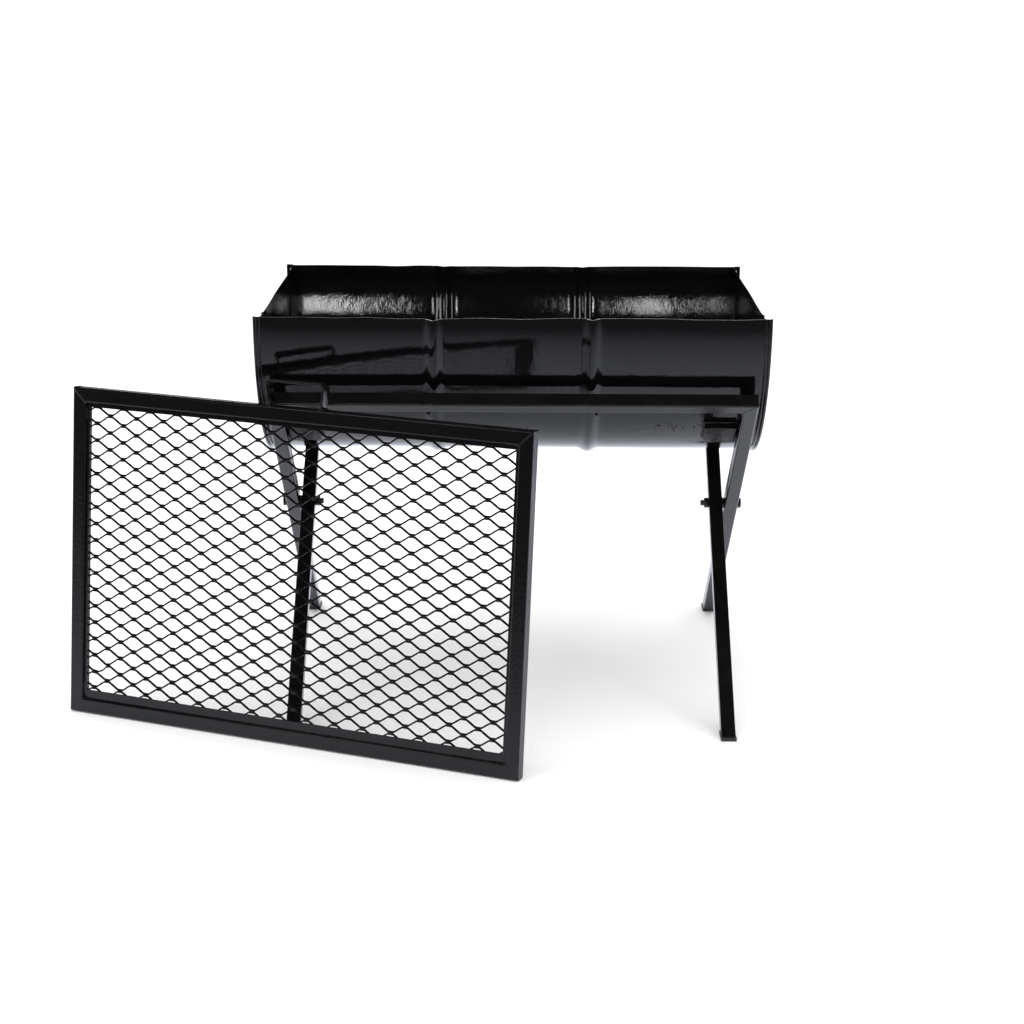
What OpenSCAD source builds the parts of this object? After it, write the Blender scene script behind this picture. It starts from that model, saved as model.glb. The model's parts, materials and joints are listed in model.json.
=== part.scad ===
// Folding camp grill: half of a steel drum cradled in a folding X stand,
// with a loose cooking grid that stands on its long edge beside the stand.
// +Z is up, +X runs along the drum and +Y points away from the user.
// The origin is on the floor, under the middle of the whole group.

/* [Drum] */
// Outer radius of the half drum's body
drum_r = 285; // [240:1:300]
// Length of the drum over both end seams
drum_len = 880; // [840:5:900]
// Thickness of the drum's sheet
sheet_t = 1.5; // [1:0.1:3]
// How far a rolling hoop stands proud of the body
hoop_h = 7; // [3:0.5:10]
// Width of a rolling hoop along the drum
hoop_w = 38; // [24:1:50]
// Distance of each rolling hoop from the middle of the drum
hoop_x = 135; // [100:1:160]
// Radius of the rolled seam bead round each end
seam_r = 4.5; // [3:0.5:6]
// Depth of the end discs behind the seam's outer face
disc_depth = 13; // [11:1:25]

/* [Locating blocks] */
// Length of a block along the drum
block_len = 56; // [30:1:60]
// Width of a block round the drum
block_w = 52; // [30:1:60]
// Height of a block off the drum's skin
block_t = 12; // [6:1:16]
// Side gap between a block and the stand's outer leg
block_gap = 2.5; // [1:0.5:6]

/* [Stand] */
// Outside size of the square tube in both frames
tube = 25; // [20:1:30]
// Wall thickness of the square tube
tube_wall = 2; // [1.5:0.1:3]
// Radius of the tube's rounded corners
tube_round = 3; // [1:0.5:4]
// Slope of the legs above the floor, in degrees
leg_angle = 41.5; // [38:0.5:46]
// Height of the two crossing bolts
pivot_h = 325; // [300:1:360]
// Distance of the outer frame's leg axis from the middle
outer_leg_x = 407; // [395:1:412]
// Distance from the crossing bolts up to the front rail's axis
front_rail_s = 380; // [372:1:400]
// Distance from the crossing bolts up to the rear rail's axis
rear_rail_s = 350; // [340:1:352]
// Thickness of the plastic caps under the feet
cap_t = 6; // [3:1:10]

/* [Crossing bolts] */
// Radius of the bolt's shank
bolt_r = 5; // [4:0.5:6]
// Width of the hexagons of the head and nut, over the flats
hex_af = 17; // [13:1:19]
// Height of the bolt head
head_h = 6.5; // [4:0.5:8]
// Height of the nut
nut_h = 8; // [5:0.5:10]
// Radius of the spacing washer between the legs
washer_r = 10; // [8:0.5:12]
// Gap between the outer and inner legs
leg_gap = 3.5; // [2:0.5:6]
// How far the bolt's end stands out past the nut
bolt_tip = 7; // [3:0.5:12]

/* [Cooking grid] */
// Length of the grid over its frame
grid_w = 864; // [800:1:900]
// Width of the grid over its frame
grid_h = 582; // [560:1:600]
// Outside size of the grid's square tube
grid_tube = 25; // [20:1:28]
// Visible width of the mesh strip along the lower edge
lip_bottom = 15; // [6:1:20]
// Visible width of the mesh strip along the upper edge
lip_top = 8; // [6:1:20]
// Visible width of the mesh strips along the short edges
lip_side = 6; // [4:1:20]
// Thickness of the mesh strips
lip_t = 3; // [2:0.5:4]
// Depth of the mesh strips behind the grid's front face
lip_depth = 6; // [2:1:8]
// Long pitch of the diamonds in the expanded mesh
mesh_long = 53; // [44:1:60]
// Short pitch of the diamonds in the expanded mesh
mesh_short = 29.7; // [24:0.1:34]
// Place of the first diamond along the mesh's long side
mesh_start_x = -11.5; // [-26:0.5:0]
// Height of the first diamond on the mesh's short side
mesh_start_z = -12.6; // [-14:0.1:0]
// Width of a strand of the mesh
strand_w = 3.5; // [2.5:0.5:5]
// Thickness of the mesh sheet
mesh_t = 2.5; // [1.5:0.5:4]

/* [Grid handle] */
// Outside length of the strip handle
handle_len = 110; // [90:1:130]
// Height of the handle above the grid's edge
handle_h = 45; // [35:1:60]
// Width of the handle's strip
handle_w = 22; // [16:1:24]
// Thickness of the handle's strip
handle_t = 4; // [3:0.5:6]
// Outside radius of the handle's two bends
handle_bend = 12; // [8:1:16]

/* [Grid's resting place] */
// Left end of the grid's front face, measured from the middle of the stand
rest_x = -790; // [-820:1:-760]
// Front face of the grid's left end, measured from the middle of the stand
rest_y = -252; // [-290:1:-250]
// Turn of the grid about the vertical, in degrees
grid_yaw = -21.8; // [-24:0.1:-20]
// Lean of the grid back towards the stand, in degrees
grid_lean = 6; // [4:0.1:6.4]

/* [Hidden] */
$fn = 96;
cut = 2000;

// Play between pieces that move against each other
seat_gap = 0.5;
side_play = 0.3;
bore_play = 0.1;
plug_play = 0.2;

// Stand, and the shoes and plugs of its foot caps
inner_leg_x = outer_leg_x - tube - leg_gap;
foot_y = pivot_h / tan(leg_angle);
foot_half = tube / sin(leg_angle) / 2;
leg_below = pivot_h / sin(leg_angle) + tube;
plug_len = 25;
cap_over = 1;

// Drum, and the shoulder half-way up each side of a rolling hoop
drum_z = pivot_h + (drum_r + seat_gap + tube / 2) / cos(leg_angle);
hoop_flat = hoop_w / 5;
shoulder_h = hoop_h * 0.45;
shoulder_x = hoop_flat * 1.3;
inner_r = drum_r - sheet_t;
shell_end = drum_len / 2 - seam_r;
block_x = outer_leg_x - tube / 2 - block_gap - block_len / 2;

// Grid, and the play and plain edge of its mesh sheet
grid_round = 3;
grid_wall = 1.6;
rest_z = (grid_tube - grid_round) * sin(grid_lean) + grid_round * (1 - cos(grid_lean));
open_w = grid_w - 2 * grid_tube;
open_h = grid_h - 2 * grid_tube;
mesh_gap = 0.2;
mesh_edge = 3;
mesh_cols = ceil(open_w / mesh_long) + 2;
mesh_rows = ceil(open_h / mesh_short) + 2;

// Middle of the group on the floor, so that the origin is under it
group_left = rest_x;
group_right = drum_len / 2;
group_front = rest_y + grid_w * sin(grid_yaw);
group_back = foot_y - cap_t / 2 / tan(leg_angle) + foot_half + cap_over;
stand_x = -(group_left + group_right) / 2;
stand_y = -(group_front + group_back) / 2;

// ---- Square tube ----------------------------------------------------------

// A square with true round corners
module rounded_square(side, r) {
  square([side, side - 2 * r], center = true);
  square([side - 2 * r, side], center = true);
  for (sx = [-1, 1], sy = [-1, 1])
    translate([sx * (side / 2 - r), sy * (side / 2 - r)]) circle(r = r);
}

// Hollow square tube that starts at the origin and runs up +Z
module square_tube(length, side, r, wall) {
  linear_extrude(height = length)
    difference() {
      rounded_square(side, r);
      square(side - 2 * wall, center = true);
    }
}

// Everything on the far side of a 45 degree mitre through the origin
module mitre_side() {
  rotate([0, 0, 45]) translate([-cut / 2, 0, -cut / 2]) cube(cut);
}

// Tube along X about the origin with both ends mitred, longest on its +Y side
module mitred_tube(length, side, r, wall) {
  difference() {
    translate([-length / 2, 0, 0]) rotate([0, 90, 0]) square_tube(length, side, r, wall);
    for (m = [0, 1])
      mirror([m, 0, 0])
        translate([length / 2 - side / 2, 0, 0]) rotate([0, 0, 180]) mitre_side();
  }
}

// ---- Stand ----------------------------------------------------------------

// Places a flat frame, drawn with +Y up its slope, as the outer frame
module on_outer_frame() {
  translate([stand_x, stand_y, pivot_h]) rotate([180 - leg_angle, 0, 0]) children();
}

// Places a flat frame, drawn with +Y up its slope, as the inner frame
module on_inner_frame() {
  translate([stand_x, stand_y, pivot_h]) rotate([leg_angle, 0, 0]) children();
}

// Everything under the level where the foot caps begin
module below_caps() {
  translate([-cut / 2, -cut / 2, -cut]) cube([cut, cut, cut + cap_t]);
}

// Right-hand leg of a flat frame: mitred at the top, bored for the bolt
module flat_leg(leg_x, rail_s, bore_r) {
  difference() {
    translate([leg_x, -leg_below, 0])
      rotate([-90, 0, 0]) square_tube(leg_below + rail_s + tube / 2, tube, tube_round, tube_wall);
    translate([leg_x, rail_s, 0]) mitre_side();
    translate([leg_x - tube, 0, 0]) rotate([0, 90, 0]) cylinder(r = bore_r, h = 2 * tube);
  }
}

module outer_leg(side) {
  color([0.05, 0.05, 0.055])
    difference() {
      on_outer_frame() mirror([side < 0 ? 1 : 0, 0, 0]) flat_leg(outer_leg_x, front_rail_s, bolt_r);
      below_caps();
    }
}

module inner_leg(side) {
  color([0.05, 0.05, 0.055])
    difference() {
      on_inner_frame()
        mirror([side < 0 ? 1 : 0, 0, 0])
          flat_leg(inner_leg_x, rear_rail_s, bolt_r + bore_play);
      below_caps();
    }
}

module outer_leg_left() { outer_leg(-1); }
module outer_leg_right() { outer_leg(1); }
module inner_leg_left() { inner_leg(-1); }
module inner_leg_right() { inner_leg(1); }

module front_rail() {
  color([0.05, 0.05, 0.055])
    on_outer_frame()
      translate([0, front_rail_s, 0])
        mitred_tube(2 * outer_leg_x + tube, tube, tube_round, tube_wall);
}

module rear_rail() {
  color([0.05, 0.05, 0.055])
    on_inner_frame()
      translate([0, rear_rail_s, 0])
        mitred_tube(2 * inner_leg_x + tube, tube, tube_round, tube_wall);
}

// Plastic cap: a flat shoe on the floor with a plug that fills the tube's end
module foot_cap(leg_x, facing) {
  plug = tube - 2 * tube_wall - 2 * plug_play;
  shoe = [tube + 2 * cap_over, 2 * (foot_half + cap_over), cap_t];
  shoe_y = facing * (foot_y - cap_t / 2 / tan(leg_angle));
  color([0.03, 0.03, 0.03]) {
    translate([stand_x + leg_x, stand_y + shoe_y, cap_t / 2]) cube(shoe, center = true);
    difference() {
      translate([stand_x + leg_x, stand_y, pivot_h])
        rotate([facing > 0 ? 180 - leg_angle : leg_angle, 0, 0])
          translate([0, -leg_below, 0])
            rotate([-90, 0, 0]) translate([-plug / 2, -plug / 2, 0]) cube([plug, plug, 2 * plug_len]);
      translate([0, 0, -cut + cap_t / 2]) linear_extrude(height = cut) square(2 * cut, center = true);
    }
  }
}

module outer_foot_cap_left() { foot_cap(-outer_leg_x, 1); }
module outer_foot_cap_right() { foot_cap(outer_leg_x, 1); }
module inner_foot_cap_left() { foot_cap(-inner_leg_x, -1); }
module inner_foot_cap_right() { foot_cap(inner_leg_x, -1); }

// ---- Crossing bolts -------------------------------------------------------

module hexagon(height) {
  rotate([0, 90, 0]) cylinder(r = hex_af / 2 / cos(30), h = height, $fn = 6);
}

// Places a fastener, drawn for the right-hand crossing, at both crossings
module at_crossings() {
  for (m = [0, 1])
    translate([stand_x, stand_y, pivot_h]) mirror([m, 0, 0]) children();
}

module pivot_bolts() {
  outer_face = outer_leg_x + tube / 2;
  tip = inner_leg_x - tube / 2 - nut_h - bolt_tip;
  color([0.12, 0.12, 0.13])
    at_crossings() {
      translate([outer_face, 0, 0]) hexagon(head_h);
      translate([tip, 0, 0]) rotate([0, 90, 0]) cylinder(r = bolt_r, h = outer_face - tip + head_h / 2);
    }
}

module pivot_nuts() {
  color([0.12, 0.12, 0.13])
    at_crossings()
      difference() {
        translate([inner_leg_x - tube / 2 - nut_h - side_play, 0, 0]) hexagon(nut_h);
        translate([inner_leg_x - 2 * tube, 0, 0]) rotate([0, 90, 0]) cylinder(r = bolt_r, h = 2 * tube);
      }
}

module pivot_washers() {
  color([0.12, 0.12, 0.13])
    at_crossings()
      translate([inner_leg_x + tube / 2 + side_play, 0, 0])
        rotate([0, 90, 0])
          difference() {
            cylinder(r = washer_r, h = leg_gap - side_play);
            translate([0, 0, -1]) cylinder(r = bolt_r, h = leg_gap + 2);
          }
}

// ---- Drum -----------------------------------------------------------------

// Turns a shape drawn about +Z into the lower half of a drum along X
module on_drum() {
  translate([stand_x, stand_y, drum_z]) rotate([0, 90, 0]) rotate([0, 0, -90]) children();
}

// Outline of one skin of the shell, from the left end to the right, as radius and place
function hoop_outline(x, r) = [
  [r, x - hoop_w / 2], [r + shoulder_h, x - shoulder_x], [r + hoop_h, x - hoop_flat / 2],
  [r + hoop_h, x + hoop_flat / 2], [r + shoulder_h, x + shoulder_x], [r, x + hoop_w / 2]
];
function skin_outline(r) = concat(
  [[r, -shell_end]], hoop_outline(-hoop_x, r), hoop_outline(hoop_x, r), [[r, shell_end]]
);
function reversed(list) = [for (i = [len(list) - 1:-1:0]) list[i]];

module drum_shell() {
  color([0.03, 0.03, 0.035])
    on_drum()
      rotate_extrude(angle = 180)
        polygon(concat(skin_outline(drum_r), reversed(skin_outline(inner_r))));
}

module end_disc(side) {
  inward = drum_len / 2 - disc_depth - sheet_t;
  color([0.03, 0.03, 0.035])
    on_drum()
      translate([0, 0, side > 0 ? inward : -inward - sheet_t])
        intersection() {
          cylinder(r = inner_r, h = sheet_t);
          translate([-cut / 2, 0, -cut / 2]) cube(cut);
        }
}

module end_disc_left() { end_disc(-1); }
module end_disc_right() { end_disc(1); }

// Rolled seam bead round one end, open along the cut rim like the shell
module seam(side) {
  color([0.03, 0.03, 0.035])
    on_drum()
      translate([0, 0, side * (drum_len / 2 - seam_r)])
        rotate_extrude(angle = 180) translate([drum_r, 0]) circle(r = seam_r);
}

module seam_left() { seam(-1); }
module seam_right() { seam(1); }

// Block welded to the skin where it touches an outer leg: keeps the drum in the stand
module block(side) {
  color([0.05, 0.05, 0.055])
    translate([stand_x, stand_y, drum_z])
      rotate([-leg_angle, 0, 0])
        difference() {
          translate([side * block_x, 0, -drum_r])
            cube([block_len, block_w, 2 * block_t], center = true);
          rotate([0, 90, 0]) cylinder(r = drum_r, h = cut, center = true, $fn = 180);
        }
}

module block_left() { block(-1); }
module block_right() { block(1); }

// ---- Cooking grid ---------------------------------------------------------

// Places the grid, drawn upright with +Y to its back, where it leans
module on_grid() {
  translate([stand_x + rest_x, stand_y + rest_y, rest_z])
    rotate([0, 0, grid_yaw]) rotate([-grid_lean, 0, 0]) children();
}

// A tube of the grid's frame about the grid's middle, on the side at the given turn
module grid_side(length, reach, turn) {
  color([0.06, 0.06, 0.065])
    on_grid()
      translate([grid_w / 2, grid_tube / 2, grid_h / 2])
        rotate([0, turn, 0])
          translate([0, 0, reach - grid_tube / 2])
            rotate([90, 0, 0]) mitred_tube(length, grid_tube, grid_round, grid_wall);
}

module grid_tube_top() { grid_side(grid_w, grid_h / 2, 0); }
module grid_tube_bottom() { grid_side(grid_w, grid_h / 2, 180); }
module grid_tube_left() { grid_side(grid_h, grid_w / 2, -90); }
module grid_tube_right() { grid_side(grid_h, grid_w / 2, 90); }

// A flat strip inside the frame that holds an edge of the mesh
module mesh_strip(corner, size) {
  color([0.05, 0.05, 0.055])
    on_grid() translate([corner[0], lip_depth, corner[1]]) cube([size[0], lip_t, size[1]]);
}

module mesh_strip_top() { mesh_strip([grid_tube, grid_h - grid_tube - lip_top], [open_w, lip_top]); }
module mesh_strip_bottom() { mesh_strip([grid_tube, grid_tube], [open_w, lip_bottom]); }
module mesh_strip_left() {
  mesh_strip([grid_tube, grid_tube + lip_bottom], [lip_side, open_h - lip_bottom - lip_top]);
}
module mesh_strip_right() {
  mesh_strip(
    [grid_w - grid_tube - lip_side, grid_tube + lip_bottom],
    [lip_side, open_h - lip_bottom - lip_top]
  );
}

// The four corners of the diamond hole in one column and row of the mesh
hole_long = mesh_long / 2 - strand_w;
hole_short = mesh_short / 2 - strand_w / 2;
function hole_middle(col, row) = [
  mesh_start_x + (col + (row % 2) / 2) * mesh_long, mesh_start_z + row * mesh_short / 2
];
function hole_points(c) = [
  c + [hole_long, 0], c + [0, hole_short], c + [-hole_long, 0], c + [0, -hole_short]
];

// Keeps the part of a convex outline on the near side of a straight edge
function reach(p, normal, limit) = limit - p * normal;
function crossing(p, q, a, b) = p + (q - p) * a / (a - b);
function trimmed(points, normal, limit) = [
  for (i = [0:1:len(points) - 1])
    let (
      p = points[i],
      q = points[(i + 1) % len(points)],
      a = reach(p, normal, limit),
      b = reach(q, normal, limit)
    )
    each concat(a > 0 ? [p] : [], a * b < 0 ? [crossing(p, q, a, b)] : [])
];
function trimmed_hole(points, size) = trimmed(
  trimmed(trimmed(trimmed(points, [1, 0], size[0]), [-1, 0], 0), [0, 1], size[1]), [0, -1], 0
);
function spread(points) = max([for (p = points) p[0]]) - min([for (p = points) p[0]]);

// Sheet of staggered diamond holes inside a plain edge that the mesh strips cover
module diamond_sheet(size, edge) {
  inside = [size[0] - 2 * edge, size[1] - 2 * edge];
  difference() {
    square(size);
    translate([edge, edge])
      for (row = [0:2 * mesh_rows])
        for (col = [-1:mesh_cols])
          let (hole = trimmed_hole(hole_points(hole_middle(col, row)), inside))
            if (len(hole) > 2 && spread(hole) > strand_w) polygon(hole);
  }
}

module grid_mesh() {
  color([0.04, 0.04, 0.045])
    on_grid()
      translate([grid_tube + mesh_gap, lip_depth + lip_t + mesh_t, grid_tube + mesh_gap])
        rotate([90, 0, 0])
          linear_extrude(height = mesh_t)
            diamond_sheet([open_w - 2 * mesh_gap, open_h - 2 * mesh_gap], mesh_edge);
}

// One leg and bend of the handle, drawn for its right half from the middle
module half_handle() {
  run = handle_len / 2 - handle_bend;
  translate([0, 0, handle_h - handle_t]) cube([run, handle_w, handle_t]);
  translate([handle_len / 2 - handle_t, 0, 0]) cube([handle_t, handle_w, handle_h - handle_bend]);
  translate([run, handle_w, handle_h - handle_bend])
    rotate([90, 0, 0])
      rotate_extrude(angle = 90)
        translate([handle_bend - handle_t, 0]) square([handle_t, handle_w]);
}

module grid_handle() {
  color([0.1, 0.1, 0.11])
    on_grid()
      translate([grid_w / 2, (grid_tube - handle_w) / 2, grid_h])
        for (m = [0, 1])
          mirror([m, 0, 0]) half_handle();
}

front_rail();
outer_leg_left();
outer_leg_right();
outer_foot_cap_left();
outer_foot_cap_right();
rear_rail();
inner_leg_left();
inner_leg_right();
inner_foot_cap_left();
inner_foot_cap_right();
pivot_bolts();
pivot_nuts();
pivot_washers();
drum_shell();
end_disc_left();
end_disc_right();
seam_left();
seam_right();
block_left();
block_right();
grid_tube_top();
grid_tube_bottom();
grid_tube_left();
grid_tube_right();
mesh_strip_top();
mesh_strip_bottom();
mesh_strip_left();
mesh_strip_right();
grid_mesh();
grid_handle();
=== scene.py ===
import json
import math
import random

import bpy
from bpy.props import FloatProperty, FloatVectorProperty, PointerProperty
from bpy.types import Operator, Panel, PropertyGroup
from mathutils import Matrix, Vector

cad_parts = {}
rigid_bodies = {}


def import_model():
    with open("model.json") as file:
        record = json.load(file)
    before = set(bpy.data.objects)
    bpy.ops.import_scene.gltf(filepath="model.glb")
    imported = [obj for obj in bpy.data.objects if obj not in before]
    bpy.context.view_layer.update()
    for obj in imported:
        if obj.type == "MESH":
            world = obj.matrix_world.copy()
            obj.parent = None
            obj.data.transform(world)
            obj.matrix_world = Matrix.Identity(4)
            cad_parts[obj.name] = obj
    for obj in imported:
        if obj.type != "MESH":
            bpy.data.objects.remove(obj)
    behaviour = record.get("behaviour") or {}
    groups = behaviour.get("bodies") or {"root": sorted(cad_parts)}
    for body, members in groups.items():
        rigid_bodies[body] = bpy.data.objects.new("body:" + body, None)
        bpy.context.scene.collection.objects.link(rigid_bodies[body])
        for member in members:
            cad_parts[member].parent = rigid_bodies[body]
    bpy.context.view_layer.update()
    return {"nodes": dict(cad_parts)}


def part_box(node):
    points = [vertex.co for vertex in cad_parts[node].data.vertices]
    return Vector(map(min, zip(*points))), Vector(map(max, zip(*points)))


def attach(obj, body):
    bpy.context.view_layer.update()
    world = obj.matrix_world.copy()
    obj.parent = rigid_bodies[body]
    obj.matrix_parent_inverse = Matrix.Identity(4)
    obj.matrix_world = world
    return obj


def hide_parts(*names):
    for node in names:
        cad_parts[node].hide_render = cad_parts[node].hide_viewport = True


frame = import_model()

bl_info = {
    "name": "Folding camp grill",
    "version": (1, 0, 0),
    "blender": (4, 5, 0),
    "location": "3D View > Sidebar > Camp grill",
    "description": "Models the half drum, the folding stand and the loose cooking grid of a camp grill",
    "category": "Add Mesh",
}

MM = 0.001

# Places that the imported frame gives
DRUM_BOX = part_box("drum_shell")
PIVOT_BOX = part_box("pivot_washers")
SEAM_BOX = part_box("seam_right")
STAND_MIDDLE = (PIVOT_BOX[0] + PIVOT_BOX[1]) / 2
DRUM_MIDDLE = Vector((STAND_MIDDLE.x, STAND_MIDDLE.y, DRUM_BOX[1].z))
DRUM_END = SEAM_BOX[1].x - STAND_MIDDLE.x


# ---- Settings ---------------------------------------------------------------


def a_length(name, about, metres):
    return FloatProperty(name=name, description=about, default=metres, unit="LENGTH")


def an_angle(name, about, degrees):
    return FloatProperty(name=name, description=about, default=math.radians(degrees), subtype="ANGLE")


def a_colour(name, about, shade):
    return FloatVectorProperty(name=name, description=about, default=shade, subtype="COLOR")


class DrumSettings(PropertyGroup):
    """Sizes of the half drum"""

    radius: a_length("Radius", "Outer radius of the drum's body", 0.285)
    sheet: a_length("Sheet", "Thickness of the drum's sheet steel", 0.0015)
    hoop_height: a_length("Hoop height", "How far a rolling hoop stands proud", 0.007)
    hoop_width: a_length("Hoop width", "Width of a rolling hoop along the drum", 0.038)
    hoop_place: a_length("Hoop place", "Distance of a hoop from the drum's middle", 0.135)
    disc_depth: a_length("End depth", "Depth of the end disc behind the seam", 0.013)
    dents: a_length("Dents", "Depth of the shallow dents in the skin", 0.0022)


class StandSettings(PropertyGroup):
    """Sizes of the two frames of the folding stand"""

    tube: a_length("Tube", "Outside size of the square tube", 0.025)
    slope: an_angle("Slope", "Slope of the legs when the stand is open", 41.5)
    outer_leg: a_length("Outer leg", "Distance of an outer leg from the middle", 0.407)
    inner_leg: a_length("Inner leg", "Distance of an inner leg from the middle", 0.3785)
    front_rail: a_length("Front rail", "Distance from the bolts up to the front rail", 0.380)
    rear_rail: a_length("Rear rail", "Distance from the bolts up to the rear rail", 0.350)


class GridSettings(PropertyGroup):
    """Sizes and place of the cooking grid"""

    corner: FloatVectorProperty(
        name="Corner", description="Lower left front corner of the grid's frame",
        default=(-0.615, -0.15748, 0.002316), subtype="TRANSLATION",
    )
    turn: an_angle("Turn", "Turn of the grid about the vertical", -21.8)
    lean: an_angle("Lean", "Lean of the grid back towards the stand", 6)
    width: a_length("Length", "Length over the frame", 0.864)
    height: a_length("Width", "Width over the frame", 0.582)
    tube: a_length("Tube", "Outside size of the square tube", 0.025)
    mesh_depth: a_length("Mesh depth", "Middle of the mesh behind the front face", 0.0112)
    long_pitch: a_length("Long pitch", "Length of a diamond", 0.053)
    short_pitch: a_length("Short pitch", "Height of a diamond", 0.0297)
    first_knot: FloatVectorProperty(
        name="First knot", description="Place of one knot along and up the grid", size=2,
        default=(0.0432, 0.0156), subtype="XYZ",
    )
    strand: a_length("Strand", "Width of a strand", 0.0035)
    handle_width: a_length("Handle length", "Outside length of the strip handle", 0.110)
    handle_height: a_length("Handle height", "Height of the handle over the frame", 0.045)


class PaintSettings(PropertyGroup):
    """Colours of the finishes"""

    enamel: a_colour("Enamel", "Gloss black enamel", (0.0022, 0.0022, 0.0026))
    satin: a_colour("Satin black", "Satin black paint", (0.0028, 0.0027, 0.0029))
    cut_rim: a_colour("Cut rim", "Thin paint on the drum's sawn rim", (0.20, 0.20, 0.21))
    # This edge colour also paints the glints along the handle's edges, as pale colour.
    bare_edge_and_glint: a_colour("Worn edge", "Thin paint over steel at an edge", (0.075, 0.066, 0.058))
    dust: a_colour("Dust", "Pale dust on the paint", (0.10, 0.095, 0.09))
    plastic: a_colour("Foot plastic", "Moulded black plastic", (0.012, 0.012, 0.013))


class StageSettings(PropertyGroup):
    """Camera and floor"""

    camera_place: FloatVectorProperty(
        name="Camera", description="Place of the camera", default=(0.179, -3.7877, 1.3747),
        subtype="TRANSLATION",
    )
    camera_yaw: an_angle("Camera yaw", "Turn to the right", -0.059)
    camera_pitch: an_angle("Camera pitch", "Tilt downwards", 15.405)
    camera_roll: an_angle("Camera roll", "Roll of the camera", 0.298)
    lens: FloatProperty(name="Lens", description="Focal length in millimetres", default=75.816)
    floor_size: a_length("Floor", "Half the floor's width", 60.0)


# ---- Bench work: selecting, placing and finishing -----------------------------


def clear_bench():
    """Nothing is left selected, and no piece is in edit mode"""
    active = bpy.context.view_layer.objects.active
    if active is not None and active.mode != "OBJECT":
        bpy.ops.object.mode_set(mode="OBJECT")
    for obj in bpy.context.view_layer.objects:
        obj.select_set(False)


def take(obj):
    clear_bench()
    obj.select_set(True)
    bpy.context.view_layer.objects.active = obj
    return obj


def start_point(name, place):
    """A piece that is one loose point, ready to be drawn out as a profile"""
    clear_bench()
    bpy.ops.mesh.primitive_plane_add(size=0.002, location=place)
    obj = bpy.context.object
    obj.name = name
    bpy.ops.object.transform_apply(location=True, rotation=True, scale=True)
    bpy.ops.object.mode_set(mode="EDIT")
    bpy.ops.mesh.select_mode(type="VERT")
    bpy.ops.mesh.select_all(action="SELECT")
    bpy.ops.mesh.merge(type="CENTER")
    return obj


def draw_profile(name, points, closed=False):
    """Draws a profile point by point and leaves it in edit mode"""
    obj = start_point(name, points[0])
    for here, there in zip(points, points[1:]):
        step = Vector(there) - Vector(here)
        bpy.ops.mesh.extrude_region_move(TRANSFORM_OT_translate={"value": step})
    if closed:
        ends = [Vector(points[0]), Vector(points[-1])]
        pick(obj, "VERT", lambda v: any((v.co - e).length < 0.02 * MM for e in ends))
        bpy.ops.mesh.edge_face_add()
    return obj


def pick(obj, kind, test):
    """Selects the points, edges or faces that pass the test, and stays in edit mode"""
    bpy.ops.object.mode_set(mode="EDIT")
    bpy.ops.mesh.select_mode(type=kind)
    bpy.ops.mesh.select_all(action="DESELECT")
    bpy.ops.object.mode_set(mode="OBJECT")
    mesh = obj.data
    parts = {"VERT": mesh.vertices, "EDGE": mesh.edges, "FACE": mesh.polygons}[kind]
    for part in parts:
        part.select = bool(test(part))
    bpy.ops.object.mode_set(mode="EDIT")


def push(obj, spot, move, reach):
    """Moves the point nearest to the spot, and its neighbours within reach less and less"""
    take(obj)
    near = min(obj.data.vertices, key=lambda v: (v.co - spot).length).index
    pick(obj, "VERT", lambda v: v.index == near)
    bpy.ops.transform.translate(
        value=move, use_proportional_edit=True, proportional_edit_falloff="SMOOTH", proportional_size=reach
    )
    bpy.ops.object.mode_set(mode="OBJECT")


def edge_middle(obj, edge):
    a, b = edge.vertices
    return (obj.data.vertices[a].co + obj.data.vertices[b].co) / 2


def spin_half(obj, steps):
    """Turns the drawn profile half a turn under the drum's axis"""
    bpy.ops.mesh.select_all(action="SELECT")
    bpy.ops.mesh.spin(steps=steps, angle=math.pi, center=DRUM_MIDDLE, axis=(-1, 0, 0))
    bpy.ops.mesh.select_all(action="SELECT")
    bpy.ops.mesh.remove_doubles(threshold=0.02 * MM)


def face_outwards():
    bpy.ops.mesh.select_all(action="SELECT")
    bpy.ops.mesh.normals_make_consistent(inside=False)
    bpy.ops.object.mode_set(mode="OBJECT")


def modify(obj, kind, **values):
    """Adds a modifier with these values and applies it"""
    take(obj)
    modifier = obj.modifiers.new(kind.lower(), kind)
    for key, value in values.items():
        setattr(modifier, key, value)
    bpy.ops.object.modifier_apply(modifier=modifier.name)


def bevel(obj, width, segments, degrees):
    """Rounds the edges that are sharper than this"""
    modify(
        obj, "BEVEL", width=width, segments=segments, limit_method="ANGLE", angle_limit=math.radians(degrees)
    )


def repeat(obj, count, step, **values):
    """Sets copies of the piece side by side at this step"""
    modify(
        obj, "ARRAY", count=count, use_relative_offset=False, use_constant_offset=True,
        constant_offset_displace=step, **values,
    )


def dent(obj, size, depth):
    """Pushes the surface in and out by a slow noise"""
    slow = bpy.data.textures.new(obj.name + "_dents", "CLOUDS")
    slow.noise_scale = size
    slow.noise_depth = 1
    modify(obj, "DISPLACE", texture=slow, strength=depth, mid_level=0.5, texture_coords="LOCAL")
    bpy.data.textures.remove(slow)


def settle(obj, matrix):
    """Puts a piece drawn at the origin in its place, with the place in its mesh"""
    take(obj)
    obj.matrix_world = matrix
    bpy.context.view_layer.update()
    bpy.ops.object.transform_apply(location=True, rotation=True, scale=True)


def copy_of(obj, name):
    twin = obj.copy()
    twin.data = obj.data.copy()
    twin.name = name
    bpy.context.scene.collection.objects.link(twin)
    return twin


def mirrored(obj, name):
    """A left-hand twin of a right-hand piece, turned over at the drum's middle"""
    twin = copy_of(obj, name)
    flip = Matrix.Translation((2 * STAND_MIDDLE.x, 0, 0)) @ Matrix.Diagonal((-1, 1, 1, 1))
    settle(twin, flip @ twin.matrix_world)
    bpy.ops.object.mode_set(mode="EDIT")
    face_outwards()
    return twin


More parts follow.
